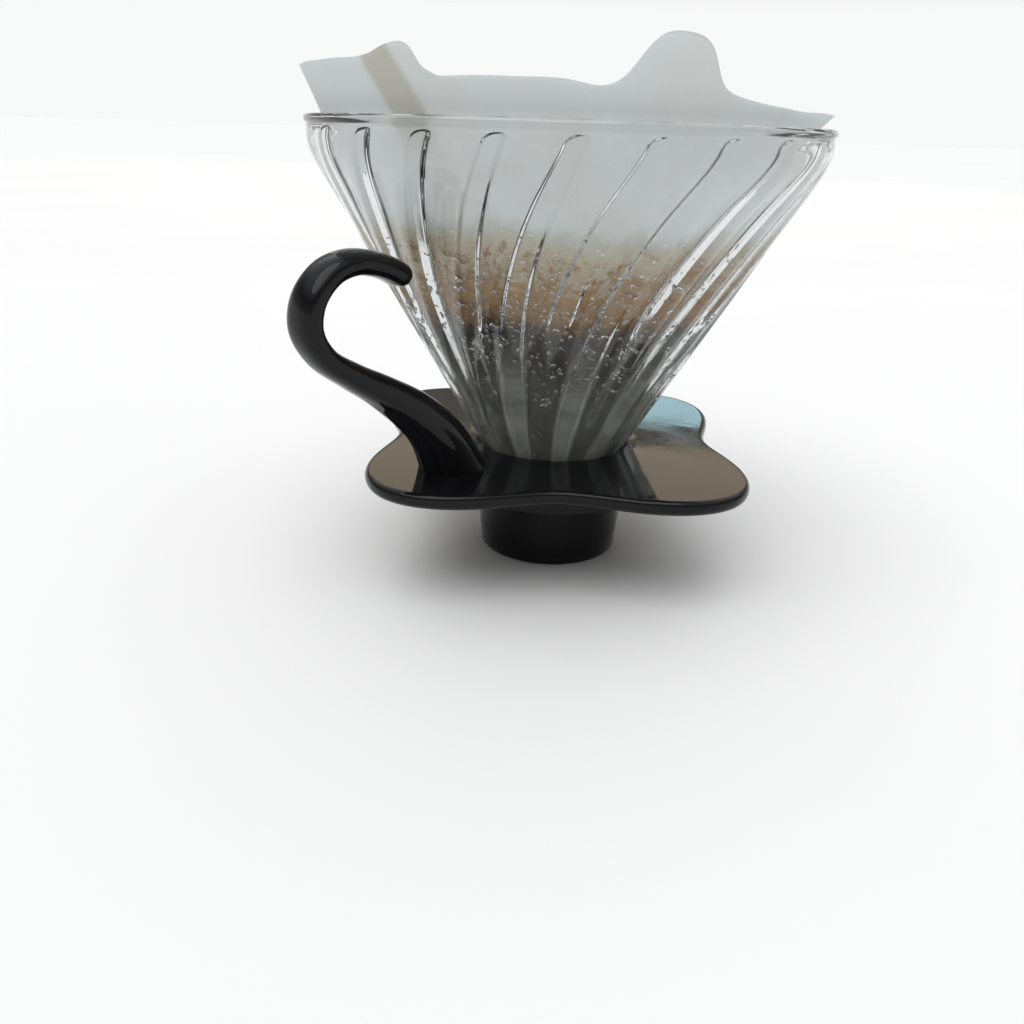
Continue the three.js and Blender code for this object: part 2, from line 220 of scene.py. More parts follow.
class Nodes:
    """A small wrapper that adds and links shader nodes."""

    def __init__(self, name):
        self.material = bpy.data.materials.new(name)
        self.material.use_nodes = True
        self.tree = self.material.node_tree
        self.shader = self.tree.nodes["Principled BSDF"]
        self.output = self.tree.nodes["Material Output"]

    def add(self, kind, **values):
        node = self.tree.nodes.new(kind)
        for key, value in values.items():
            setattr(node, key, value)
        return node

    def link(self, a, b):
        self.tree.links.new(a, b)

    def position(self):
        """Object coordinates, in metres in the row frame."""
        return self.add("ShaderNodeTexCoord").outputs["Object"]

    def noise(self, scale, detail=4.0, rough=0.55, vector=None, distortion=0.0):
        node = self.add("ShaderNodeTexNoise")
        fill(node, Scale=scale, Detail=detail, Roughness=rough, Distortion=distortion)
        self.link(vector or self.position(), node.inputs["Vector"])
        return node.outputs["Fac"]

    def ramp(self, source, stops):
        node = self.add("ShaderNodeValToRGB")
        fill_ramp(node, stops)
        self.link(source, node.inputs["Fac"])
        return node.outputs["Color"]

    def span(self, source, low=0.3, high=0.7, to_low=0, to_high=1):
        node = self.add("ShaderNodeMapRange")
        fill(node, From_Min=low, From_Max=high, To_Min=to_low, To_Max=to_high)
        self.link(source, node.inputs["Value"])
        return node.outputs["Result"]

    def math(self, operation, a, b):
        node = self.add("ShaderNodeMath", operation=operation)
        for socket, value in zip(node.inputs, (a, b)):
            if isinstance(value, (int, float)):
                socket.default_value = value
            else:
                self.link(value, socket)
        return node.outputs["Value"]

    def times(self, a, b):
        return self.math("MULTIPLY", a, b)

    def plus(self, a, b):
        return self.math("ADD", a, b)

    def minus(self, a, b):
        return self.math("SUBTRACT", a, b)

    def mix(self, factor, a, b):
        node = self.add("ShaderNodeMix", data_type="RGBA")
        for socket, value in zip((node.inputs[0], node.inputs[6], node.inputs[7]), (factor, a, b)):
            if isinstance(value, (int, float)):
                socket.default_value = value
            elif isinstance(value, tuple):
                socket.default_value = (*value, 1)
            else:
                self.link(value, socket)
        return node.outputs[2]

    def bump(self, height, strength, distance, after=None):
        node = self.add("ShaderNodeBump")
        fill(node, Strength=strength, Distance=distance)
        self.link(height, node.inputs["Height"])
        if after is not None:
            self.link(after, node.inputs["Normal"])
        return node.outputs["Normal"]

    def set(self, **values):
        for key, value in values.items():
            socket = self.shader.inputs[key.replace("_", " ")]
            if isinstance(value, (int, float)):
                socket.default_value = value
            elif isinstance(value, tuple):
                socket.default_value = (*value, 1) if len(value) == 3 else value
            else:
                self.link(value, socket)

    def blend(self, share, second):
        """Shows a second shader in place of the main one, by a share."""
        both = self.add("ShaderNodeMixShader")
        shaders = (share, self.shader.outputs[0], second.outputs[0])
        for source, socket in zip(shaders, both.inputs):
            self.link(source, socket)
        self.link(both.outputs[0], self.output.inputs["Surface"])

    def clear_to_lamps(self, tint):
        """Lets lamps reach what stands behind clear material."""
        path = self.add("ShaderNodeLightPath")
        clear = self.add("ShaderNodeBsdfTransparent")
        fill(clear, Color=(*tint, 1))
        self.blend(path.outputs["Is Shadow Ray"], clear)

    def absorb(self, colour, density):
        """Darkens light by its path inside the material, per metre."""
        volume = self.add("ShaderNodeVolumeAbsorption")
        fill(volume, Color=(*colour, 1), Density=density)
        self.link(volume.outputs[0], self.output.inputs["Volume"])

    def glow_through(self, colour, share):
        """Mixes in a translucent shader, for a thin sheet with light behind it."""
        thin = self.add("ShaderNodeBsdfTranslucent")
        self.link(colour, thin.inputs["Color"])
        self.blend(share, thin)

    def from_axis(self):
        """X measured from the cone axis, then Y and Z, in metres."""
        split = self.add("ShaderNodeSeparateXYZ")
        self.link(self.position(), split.inputs[0])
        x = self.minus(split.outputs["X"], AXIS_X)
        return x, split.outputs["Y"], split.outputs["Z"]

    def seam_mask(self):
        """One over the paper's folded seam, and nothing elsewhere."""
        x, y, z = self.from_axis()
        turn = math.radians(SEAM_AT - 180)
        ahead = self.times(x, -math.cos(turn))
        ahead = self.minus(ahead, self.times(y, math.sin(turn)))
        side = self.times(x, math.sin(turn))
        side = self.minus(side, self.times(y, math.cos(turn)))
        rise = self.minus(z, RIM_Z * MM)
        off = self.plus(side, self.times(rise, -SEAM_LEAN))
        away = self.math("ABSOLUTE", off, 0.0)
        strip = self.span(away, (SEAM_HALF - 1.4) * MM, (SEAM_HALF + 0.2) * MM, 1, 0)
        return self.times(strip, self.span(ahead, 0, 0.002))

    def rib_mask(self):
        """One along the long ribs, and nothing between them."""
        x, y, z = self.from_axis()
        angle = self.math("ARCTAN2", y, x)
        left = self.minus(1.0, self.math("DIVIDE", self.depth_mm(), RIB_FOOT))
        left = self.math("MAXIMUM", left, 0.0)
        turned = self.minus(1.0, self.math("POWER", left, TWIST_POWER))
        angle = self.plus(angle, self.times(turned, math.radians(RIB_TWIST)))
        angle = self.minus(angle, math.radians(RIB_START + 180 / RIB_COUNT * 2))
        wave = self.math("COSINE", self.times(angle, RIB_COUNT / 2), 0.0)
        return self.span(wave, -0.1, 0.5)

    def inner_skin(self):
        """One on the inner side of the glass wall and nothing on its outer side."""
        x, y, z = self.from_axis()
        square = self.plus(self.times(y, y), self.times(x, x))
        radius = self.times(self.math("SQRT", square, 0.0), 1000.0)
        narrowing = self.times(self.minus(self.depth_mm(), RIM_BAND), SLOPE)
        inward = self.minus(self.minus(RIM_R, narrowing), radius)
        return self.span(inward, 1.9, 2.7)

    def depth_mm(self, wobble=None):
        """Depth below the rim in mm, with an optional wandering edge."""
        below = self.minus(RIM_Z * MM, self.from_axis()[2])
        depth = self.times(below, 1000.0)
        return depth if wobble is None else self.plus(depth, wobble)


# ------------------------------ materials
def gloss_plastic(name, shade, low, high):
    """Polished moulded black plastic: faint orange peel, smears and a few fine marks."""
    n = Nodes(name)
    smears = n.noise(55, 5, 0.6, distortion=0.6)
    fine = n.noise(900, 3, 0.5)
    peel = n.noise(160, 2, 0.4)
    smeared = n.span(smears, 0.35, 0.75, low, high)
    n.set(
        Base_Color=n.mix(n.span(smears), shade, tuple(v * 1.7 for v in shade)),
        Roughness=n.plus(smeared, n.span(fine, 0.4, 0.7, 0, 0.02)),
        IOR=1.5,
        Specular_IOR_Level=0.2,
        Normal=n.bump(peel, 0.06, 0.0004),
    )
    return n.material


def silicone():
    n = Nodes("black_silicone_look")
    grain = n.noise(1400, 4, 0.6)
    dust = n.noise(120, 4, 0.6)
    n.set(
        Base_Color=n.mix(n.span(dust, 0.4, 0.7), (0.012, 0.012, 0.013), (0.03, 0.029, 0.028)),
        Roughness=n.span(dust, 0.3, 0.7, 0.5, 0.66),
        Normal=n.bump(grain, 0.25, 0.0001),
    )
    return n.material


def natural_plastic():
    n = Nodes("natural_plastic_look")
    cloud = n.noise(90, 4, 0.6)
    grain = n.noise(1100, 3, 0.5)
    n.set(
        Base_Color=n.mix(n.span(cloud), (0.70, 0.69, 0.64), (0.78, 0.78, 0.75)),
        Roughness=n.span(cloud, 0.3, 0.7, 0.38, 0.5),
        Normal=n.bump(grain, 0.15, 0.0001),
    )
    return n.material


def clear_glass():
    """Pressed glass: slow ripples in both skins, a thin uneven film of moisture, and mist on
    the inner skin low down, thickest along the long ribs and strengthened towards the bottom as
    painted light."""
    n = Nodes("pressed_glass_look")
    ripple = n.noise(70, 2, 0.4)
    mist = n.noise(420, 4, 0.65)
    film = n.span(n.depth_mm(), 14, 34)
    clear = n.mix(n.span(ripple), (0.975, 0.985, 0.99), (0.99, 0.995, 0.995))
    wander = n.span(n.noise(70, 3, 0.6), 0.3, 0.7, -4, 4)
    fogged = n.times(n.inner_skin(), n.span(n.depth_mm(wander), 40, 54))
    cloud = n.span(n.noise(110, 4, 0.6), 0.3, 0.7, 0.10, 0.22)
    mist_and_painted_light = n.times(fogged, cloud)
    mist_and_painted_light = n.times(mist_and_painted_light, n.span(n.rib_mask(), 0, 1, 0.3, 1))
    # painted light: the mist grows up to four times stronger towards the bottom, brightening the
    # lower cone where the saucer and upper cone shade it
    mist_and_painted_light = n.times(mist_and_painted_light, n.span(n.depth_mm(), 46, 66, 1, 4.2))
    soft = n.times(fogged, 0.03)
    grain = n.times(n.span(mist, 0.42, 0.72, 0.0, 0.09), film)
    n.set(
        Base_Color=n.mix(fogged, clear, (0.93, 0.93, 0.88)),
        Transmission_Weight=n.minus(1.0, mist_and_painted_light),
        Roughness=n.plus(soft, n.plus(0.03, grain)),
        IOR=1.47,
        Normal=n.bump(ripple, 0.12, 0.0012),
    )
    n.clear_to_lamps((0.95, 0.96, 0.965))
    n.absorb((0.55, 0.59, 0.58), 46.0)
    return n.material


def water():
    n = Nodes("water_look")
    ripple = n.noise(300, 2, 0.4)
    n.set(
        Base_Color=n.mix(n.span(ripple), (0.97, 0.98, 0.98), (1.0, 1.0, 1.0)),
        Transmission_Weight=1.0,
        Roughness=n.span(ripple, 0.3, 0.7, 0.0, 0.02),
        IOR=1.45,
    )
    n.clear_to_lamps((0.95, 0.96, 0.96))
    return n.material


def filter_paper():
    """Pale crepe paper, stained tan, brown and then near black where the grounds lie, with painted
    shade above the rim and on the doubled seam, and painted light streaks along the long ribs.
    """
    n = Nodes("filter_paper_look")
    fibres = n.noise(950, 6, 0.7, distortion=0.4)
    crepe = n.noise(2600, 3, 0.6)
    cloud = n.noise(60, 3, 0.5)
    slow_edge = n.span(n.noise(45, 3, 0.5), 0.3, 0.7, -1.2, 1.2)
    edge = n.plus(slow_edge, n.span(n.noise(420, 4, 0.7), 0.3, 0.7, -1.5, 1.5))
    depth = n.depth_mm(edge)
    clean = n.mix(n.span(fibres), (0.88, 0.91, 0.92), (0.94, 0.96, 0.97))
    # painted shade: the paper standing above the rim is made greyer and cooler than the paper
    # behind the glass
    clean = n.mix(n.span(n.depth_mm(), -1.5, 1, 0.75, 0), clean, (0.78, 0.81, 0.82))
    clean = n.mix(n.span(cloud, 0.35, 0.7, 0, 0.35), clean, (0.78, 0.78, 0.74))
    # painted shade: the doubled seam is darkened near the rim, standing in for the light that two
    # layers of paper hold back
    seam_painted_shade = n.times(n.seam_mask(), n.span(n.depth_mm(), -1, 7, 1, 0.1))
    clean = n.mix(seam_painted_shade, clean, (0.70, 0.695, 0.655))
    stain = n.ramp(
        n.span(depth, 18, 58),
        [
            (0.0, (0.82, 0.84, 0.83)),
            (0.07, (0.79, 0.78, 0.72)),
            (0.14, (0.80, 0.73, 0.58)),
            (0.33, (0.66, 0.50, 0.30)),
            (0.43, (0.27, 0.155, 0.075)),
            (0.51, (0.125, 0.072, 0.038)),
            (0.59, (0.06, 0.05, 0.044)),
            (1.0, (0.05, 0.047, 0.045)),
        ],
    )
    patches = n.plus(n.noise(330, 5, 0.7), n.span(depth, 21, 33, -0.12, 0.1))
    foamy = n.mix(n.span(patches, 0.48, 0.57), stain, (0.50, 0.27, 0.085))
    grit = n.noise(900, 3, 0.75)
    specks = n.mix(n.span(grit, 0.55, 0.68, 0, 0.75), foamy, (0.13, 0.065, 0.03))
    in_band = n.times(n.span(depth, 21, 24, 0, 0.9), n.span(depth, 35, 40, 1, 0))
    stained = n.mix(in_band, stain, specks)
    # painted light: paler streaks on the paper along the long ribs low down, standing in for light
    # the ribs and mist send back
    painted_rib_streaks = n.times(n.rib_mask(), n.span(depth, 38, 50, 0, 0.9))
    blotches = n.span(n.noise(260, 4, 0.6), 0.35, 0.65)
    painted_streak_tone = n.mix(blotches, (0.085, 0.075, 0.065), (0.19, 0.172, 0.145))
    stained = n.mix(painted_rib_streaks, stained, painted_streak_tone)
    colour = n.mix(n.span(depth, 17, 20), clean, stained)
    n.set(
        Base_Color=colour,
        Roughness=n.span(depth, 20, 42, 0.92, 0.5),
        Sheen_Weight=0.1,
        Normal=n.bump(crepe, 0.3, 0.00012, after=n.bump(fibres, 0.45, 0.0003)),
    )
    n.glow_through(colour, n.span(depth, 18, 30, 0.62, 0.06))
    return n.material


def wet_grounds():
    n = Nodes("wet_grounds_look")
    grains = n.add("ShaderNodeTexVoronoi", feature="F1")
    fill(grains, Scale=1250)
    n.link(n.position(), grains.inputs["Vector"])
    tone = n.ramp(
        grains.outputs["Color"],
        [
            (0.0, (0.018, 0.010, 0.006)),
            (0.5, (0.045, 0.025, 0.014)),
            (0.8, (0.085, 0.048, 0.026)),
            (1.0, (0.16, 0.10, 0.055)),
        ],
    )
    froth = n.span(n.noise(140, 5, 0.7), 0.5, 0.64, 0, 0.8)
    high = n.span(n.depth_mm(), 46, 30, 0.15, 1)
    n.set(
        Base_Color=n.mix(n.times(froth, high), tone, (0.26, 0.165, 0.09)),
        Roughness=n.span(n.noise(500, 4, 0.6), 0.35, 0.7, 0.22, 0.75),
        Normal=n.bump(
            grains.outputs["Distance"], 0.8, 0.0004, after=n.bump(n.noise(700, 5, 0.7), 0.6, 0.0004)
        ),
    )
    return n.material


HOLDER_LOOK = gloss_plastic("gloss_black_look", (0.0038, 0.0038, 0.0045), 0.03, 0.10)
RING_LOOK = gloss_plastic("ring_black_look", (0.010, 0.010, 0.011), 0.2, 0.34)
SILICONE_LOOK = silicone()
NATURAL_LOOK = natural_plastic()
GLASS_LOOK = clear_glass()
WATER_LOOK = water()
PAPER_LOOK = filter_paper()
GROUNDS_LOOK = wet_grounds()


# ------------------------------ glass cone
RIB_TOP = 1.9  # depth of a rib's arched top below the rim
RIB_HALF_TOP = 2.8  # half width of a rib at its top and at its foot
RIB_HALF_FOOT = 2.0
SHORT_RIB_FOOT = 38.0  # every other rib stops at this depth
FLANK_LEFT = 0.42  # width of a rib's two flanks, as shares of its half width
FLANK_RIGHT_TOP = 1.0
FLANK_RIGHT_FOOT = 0.45
RIB_RISE_TOP = 0.72  # height of a rib over the wall at the top and low down
RIB_RISE_FOOT = 1.35
RIB_CHANGE = 50.0  # depth by which a rib has its low section
RIB_ARCH = 1.2  # length over which a rib rises at its arched top
RIB_FADE = 4.0  # and dies out at its foot
COLUMNS_PER_PITCH = 40
FLUTE = 0.7  # hollow of the outer face between the ribs
UNDER_BEAD = 0.5  # how far the outer face draws in under the rim's bead
BEAD_R = 0.9
INNER_DEPTHS = np.concatenate(
    [np.linspace(0.9, 1.7, 3), np.linspace(1.95, 7, 20), np.linspace(7.5, 12, 8)]
    + [np.linspace(13.4, 82, 46), [83.5, 85, 87, 90, 94, 97.2]]
)
OUTER_DEPTHS = np.concatenate(
    [[97.3, 94, 90, 87.5, 86.4, 86, 85.4, 84], np.linspace(82, 9, 36), np.linspace(8, 1.9, 10)]
)


def rib_half(depth):
    part = np.clip((depth - RIB_TOP) / (RIB_FOOT - RIB_TOP), 0, 1)
    return RIB_HALF_TOP + (RIB_HALF_FOOT - RIB_HALF_TOP) * part


def rib_spacing(depth):
    """Distance between neighbouring ribs along the inner wall."""
    return (cone_r(RIM_Z - depth) - WALL) * 2 * math.pi / RIB_COUNT


def rib_height(sideways, depth, long_rib):
    """Height of a rib at a distance along the wall: crisp on the left, softer on the right."""
    half = rib_half(depth)
    share = np.clip(depth / RIB_CHANGE, 0, 1)
    soft = FLANK_RIGHT_TOP + (FLANK_RIGHT_FOOT - FLANK_RIGHT_TOP) * share
    rise = RIB_RISE_TOP + (RIB_RISE_FOOT - RIB_RISE_TOP) * share
    left = smoothstep((sideways + half) / (half * FLANK_LEFT))
    right = smoothstep((half - sideways) / (half * soft))
    across = np.clip(sideways / half, -1, 1)
    bow = half * (1 - np.sqrt(1 - across**2))
    arch = smoothstep((depth - RIB_TOP - bow) / RIB_ARCH)
    foot = RIB_FOOT - 2 if long_rib else SHORT_RIB_FOOT
    fade = smoothstep((foot + 3 - bow - depth) / RIB_FADE)
    return rise * left * right * arch * fade


def rib_columns(depth):
    """Positions over a rib and the valley beside it, in mm from the rib's middle."""
    half = rib_half(min(depth, RIB_FOOT))
    spacing = rib_spacing(min(depth, RIB_FOOT))
    reach = min(1.0, spacing / 2.12 / half)
    flank = np.linspace(-1.04, -0.56, 10)
    crest = np.linspace(-0.56, -0.1, 6)[1:-1]
    back = np.linspace(-0.1, 1.04, 14)
    ridge = np.concatenate([flank, crest, back]) * half * reach
    count = COLUMNS_PER_PITCH - len(ridge)
    valley = np.linspace(ridge[-1], spacing + ridge[0], count + 2)[1:-1]
    return np.concatenate([ridge, valley]), spacing


def glass_row(depth, radius_at):
    """One ring of points round the glass, as radii and angles. radius_at gives the radius from
    the distance beside a rib, that distance as a share of the spacing, and long or short."""
    sideways, spacing = rib_columns(depth)
    share = sideways / spacing
    ribs = np.arange(RIB_COUNT)[:, None] + share[None, :]
    angle = ribs.ravel() * 2 * math.pi / RIB_COUNT + math.radians(RIB_START) + twist(depth)
    pair = [
        np.broadcast_to(radius_at(sideways, share, long_rib), share.shape)
        for long_rib in (False, True)
    ]
    return np.tile(np.concatenate(pair), RIB_COUNT // 2), angle


def build_glass():
    """Rows of points down the inner wall, round the neck, up the outer wall and over the rim."""
    rows = []
    for depth in INNER_DEPTHS:
        wall = max(OUTLET_R, cone_r(RIM_Z - depth) - WALL)
        if wall > OUTLET_R:
            radius, angle = glass_row(depth, lambda x, u, big: wall - rib_height(x, depth, big))
        else:
            radius, angle = glass_row(depth, lambda x, u, big: wall)
        rows.append((radius, angle, RIM_Z - depth))
    lip = [(OUTLET_R + 0.25, 0.2), (OUTLET_R + 0.8, 0), (NECK_R - 0.8, 0), (NECK_R - 0.2, 0.25)]
    for lip_r, up in lip:
        radius, angle = glass_row(RIM_Z - NECK_BOTTOM, lambda x, u, big: lip_r)
        rows.append((radius, angle, NECK_BOTTOM + up))
    for depth in OUTER_DEPTHS:
        outside = max(NECK_R, cone_r(RIM_Z - depth))
        outside -= UNDER_BEAD * smoothstep((5 - depth) / 3)
        hollow = FLUTE * smoothstep((depth - 3) / 14) * smoothstep((70 - depth) / 10)
        radius, angle = glass_row(
            depth, lambda x, u, big: outside + hollow * (np.cos(u * 2 * math.pi) - 1)
        )
        rows.append((radius, angle, RIM_Z - depth))
    bead = arc(RIM_R - BEAD_R, RIM_Z - BEAD_R - 0.05, BEAD_R, -60, 80, 8)
    bead += [(RIM_R - 1.6, RIM_Z), (RIM_R - 2.3, RIM_Z - 0.05), (RIM_R - 3.0, RIM_Z - 0.35)]
    for bead_r, z in bead:
        radius, angle = glass_row(0, lambda x, u, big: bead_r)
        rows.append((radius, angle, z))
    cols = len(rows[0][0])
    points = np.concatenate([around(*each) for each in rows])
    glass = mesh_object("glass_cone_fluted", points, grid_faces(len(rows), cols, True), GLASS_LOOK)
    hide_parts("glass_cone")
    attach(glass, "glass")


def inner_wall(rib, share, depth):
    """Radius, direction and height of a point inside the glass, beside a numbered rib."""
    sideways = share * float(rib_spacing(depth))
    rise = float(rib_height(sideways, depth, rib % 2 == 1))
    radius = float(cone_r(RIM_Z - depth)) - WALL - rise
    angle = (rib + share) * 2 * math.pi / RIB_COUNT + math.radians(RIB_START)
    return radius, angle + float(twist(depth)), RIM_Z - depth


SMALL_DROPS = 3600
BIG_DROPS = 260
BIG_DROP_R = (0.42, 0.78)
DROP_DOME = 0.8  # height of a droplet as a share of its radius
DROP_SINK = 0.1  # how far its centre stands off the wall, as a share of its radius


def build_droplets():
    """Condensation on the inside of the glass, between the ribs and on their crests."""
    rng = random.Random(11)
    points, faces, drops = [], [], []
    for _ in range(SMALL_DROPS):
        depth = rng.triangular(18, 60, 30) if rng.random() < 0.8 else rng.uniform(36, 74)
        drops.append((depth, 0.2 + 0.34 * rng.random() ** 3))
    for _ in range(BIG_DROPS):
        drops.append((rng.triangular(24, 70, 42), rng.uniform(*BIG_DROP_R)))
    for depth, size in drops:
        rib = rng.randrange(RIB_COUNT)
        radius, angle, z = inner_wall(rib, rng.uniform(-0.5, 0.5), depth)
        out = Vector((math.cos(angle), math.sin(angle), -SLOPE)).normalized()
        down = Vector((-math.cos(angle) * SLOPE, -math.sin(angle) * SLOPE, -1)).normalized()
        side = Vector((-math.sin(angle), math.cos(angle), 0))
        centre = Vector((radius * math.cos(angle), radius * math.sin(angle), z))
        centre -= out * size * DROP_SINK
        stretch = rng.uniform(0.9, 1.35)
        sphere_rows, sphere_cols = (5, 9) if size > BIG_DROP_R[0] else (4, 8)
        start = len(points)
        for i in range(1, sphere_rows):
            lat = math.pi * i / sphere_rows
            for j in range(sphere_cols):
                lon = 2 * math.pi * j / sphere_cols
                points.append(
                    centre
                    + out * math.cos(lat) * size * DROP_DOME
                    + side * math.sin(lat) * math.cos(lon) * size
                    + down * math.sin(lat) * math.sin(lon) * size * stretch
                )
        faces += grid_faces(sphere_rows - 1, sphere_cols, False, start)
        faces.append(tuple(range(start, start + sphere_cols))[::-1])
        faces.append(tuple(range(len(points) - sphere_cols, len(points))))
    drops_object = mesh_object("condensation", [tuple(p) for p in points], faces, WATER_LOOK)
    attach(drops_object, "glass")


# ------------------------------ paper filter
PAPER_T = 0.28
PAPER_TIP_R = 2.4
PAPER_BASE_RISE = 6.2  # usual height of the paper's edge above the rim
PAPER_SAG = 3.6  # a broad low stretch of the edge, and its direction in degrees
PAPER_SAG_AT = -60.5
PAPER_DIP = 0.9  # a small notch beside the side ear
PAPER_DIP_AT = -133.0
SEAM_EAR = 2.9  # the broad ear that ends at the seam, and its raised corner
SEAM_EAR_FROM = 108.0
SEAM_EAR_TO = 193.3
SEAM_CORNER = 2.3
SEAM_CORNER_AT = 190.5
SEAM_FOOT = 0.9  # a small step beyond the seam
SEAM_FOOT_AT = 194.8
SIDE_EAR = 7.9  # the tall narrow ear
SIDE_EAR_FROM = -126.7
SIDE_EAR_TO = -112.5
PAPER_OVAL = 1.9  # how far the mouth spreads along its longer axis
PAPER_OVAL_TURN = 138.5
PAPER_LEAN = 0.42  # outward lean above the rim, for each mm of height
PAPER_FLOP = 0.5  # extra lean where the edge flops over the rim
PAPER_FLOP_AT = -56.5
PAPER_COLUMNS = 1008
PAPER_LEVELS = np.concatenate(
    [np.linspace(0, 0.95, 90), np.linspace(0.956, 1, 10), np.linspace(1.06, 2, 16)]
)


def turn_from(degrees, start):
    return (degrees - start + 540) % 360 - 180


def step_up(degrees, start, width):
    return 1 / (1 + np.exp(-turn_from(degrees, start) / width))


def bump(turn, width, power=2):
    return np.exp(-(np.abs(turn / width) ** power))


def paper_rise(degrees):
    """Height of the paper edge above the rim, by direction round the cone."""
    sag_turn = turn_from(degrees, PAPER_SAG_AT)
    sag = PAPER_SAG * bump(sag_turn, np.where(sag_turn > 0, 70, 50), 4)
    dip = PAPER_DIP * bump(turn_from(degrees, PAPER_DIP_AT), 5)
    seam_ear = SEAM_EAR + SEAM_CORNER * bump(turn_from(degrees, SEAM_CORNER_AT), 7)
    seam_ear = seam_ear * step_up(degrees, SEAM_EAR_FROM, 8)
    seam_ear = seam_ear * (1 - step_up(degrees, SEAM_EAR_TO, 0.5))
    side_ear = SIDE_EAR * step_up(degrees, SIDE_EAR_FROM, 1.45)
    side_ear = side_ear * (1 - step_up(degrees, SIDE_EAR_TO, 1.5))
    foot = SEAM_FOOT * bump(turn_from(degrees, SEAM_FOOT_AT), 1.6)
    waver = 0.08 * np.sin(np.radians(degrees) * 9) + 0.05 * np.sin(np.radians(degrees) * 23 + 1)
    return PAPER_BASE_RISE - sag - dip + seam_ear + side_ear + foot + waver


def paper_spread(degrees, rise):
    """How far the paper stands out from its round cone at a height above the rim."""
    oval = PAPER_OVAL * np.sin(np.radians(degrees + PAPER_OVAL_TURN)) ** 2
    lean = PAPER_LEAN + PAPER_FLOP * bump(turn_from(degrees, PAPER_FLOP_AT), 25)
    return oval + rise * lean


def seam_relief(degrees, radius, z):
    """How far the doubled paper of the seam stands out, with its crimp marks."""
    side = np.sin(np.radians(degrees - SEAM_AT)) * radius - SEAM_LEAN * (z - RIM_Z)
    strip = 1 - smoothstep((np.abs(side) - SEAM_HALF + 0.5) / 0.5)
    ahead = np.cos(np.radians(degrees - SEAM_AT)) > 0
    crimp = 0.06 * np.sin(z * 4.2)
    return strip * ahead * (0.22 + crimp)


def paper_surface(degrees, along):
    """A point of the paper's outer face: along is 0 at the tip, 1 at the rim, 2 at the edge."""
    angle = np.radians(degrees)
    tip_z = float(cone_z(PAPER_TIP_R + WALL + RIB_STAND + GAP))
    if along <= 1:
        z = tip_z + (RIM_Z - tip_z) * along
        depth = RIM_Z - z
        radius = np.full_like(angle, float(paper_r(z)))
        phase = (angle - math.radians(RIB_START) - twist(depth)) * RIB_COUNT
        settle = smoothstep((depth - 4) / 30) * smoothstep((80 - depth) / 12)
        sink = (0.15 + 0.75 * settle) * smoothstep((depth - 3) / 6)
        spread = smoothstep((1.8 - depth) / 1.8) * paper_spread(degrees, 0)
        radius = radius + (0.5 - 0.5 * np.cos(phase)) * sink + spread
        relief = smoothstep((depth - 0.5) / 3) if depth > 0 else 1.0
        return radius + 0.5 * relief * seam_relief(degrees, radius, z), z + 0 * angle
    rise = (along - 1) * paper_rise(degrees)
    curl = 0.25 * np.sin(5 * angle + 1.1) * (along - 1) ** 2
    radius = float(paper_r(RIM_Z)) + paper_spread(degrees, rise) + curl
    return radius + (along - 1) * seam_relief(degrees, radius, RIM_Z + rise), RIM_Z + rise


def bowl_object(name, rows, angle, first_z, last_z, material):
    """A closed bowl from rows of (radius, height); both ends close on the axis."""
    cols = len(angle)
    points = [around(radius, angle, z) for radius, z in rows]
    count = len(rows) * cols
    last = (len(rows) - 1) * cols
    points.append(np.array([[0, 0, last_z], [0, 0, first_z]]))
    faces = grid_faces(len(rows), cols, False)
    faces += [(last + j, last + (j + 1) % cols, count) for j in range(cols)]
    faces += [((j + 1) % cols, j, count + 1) for j in range(cols)]
    return mesh_object(name, np.concatenate(points), faces, material)


def build_paper():
    """The outer face from tip to edge, then the inner face back down to the tip."""
    degrees = np.arange(PAPER_COLUMNS) / PAPER_COLUMNS * 360
    rows = [paper_surface(degrees, float(along)) for along in PAPER_LEVELS]
    for along in PAPER_LEVELS[::-1]:
        radius, z = paper_surface(degrees, float(along))
        lift = 0.0 if along > 0 else PAPER_T
        rows.append((radius - PAPER_T, z + lift - (0.06 if along == 2 else 0)))
    first_z, last_z = rows[0][1][0], rows[-1][1][0]
    angle = np.radians(degrees)
    paper = bowl_object("filter_paper_cone", rows, angle, first_z, last_z, PAPER_LOOK)
    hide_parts("paper_filter")
    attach(paper, "filter")


# ------------------------------ spent grounds
def lumps(x, y, seed, scale, count=5):
    """A cheap smooth seeded noise: a few turned sine waves of rising pitch."""
    rng = random.Random(seed)
    total = np.zeros_like(x)
    for k in range(count):
        way = rng.uniform(0, 2 * math.pi)
        pitch = scale * (1.45**k) * rng.uniform(0.8, 1.25)
        start = rng.uniform(0, 2 * math.pi)
        total += np.sin((x * math.cos(way) + y * math.sin(way)) * pitch + start) / (1 + k)
    return total


PAPER_ROOM = 0.6  # thickness that the paper takes in the frame
BED_FOOT_R = 2.6
BED_EDGE = RIM_Z - 27.0  # height at which the grounds thin out against the paper
BED_COLUMNS = 720


def bed_side(z):
    return paper_r(z) - PAPER_ROOM - GAP


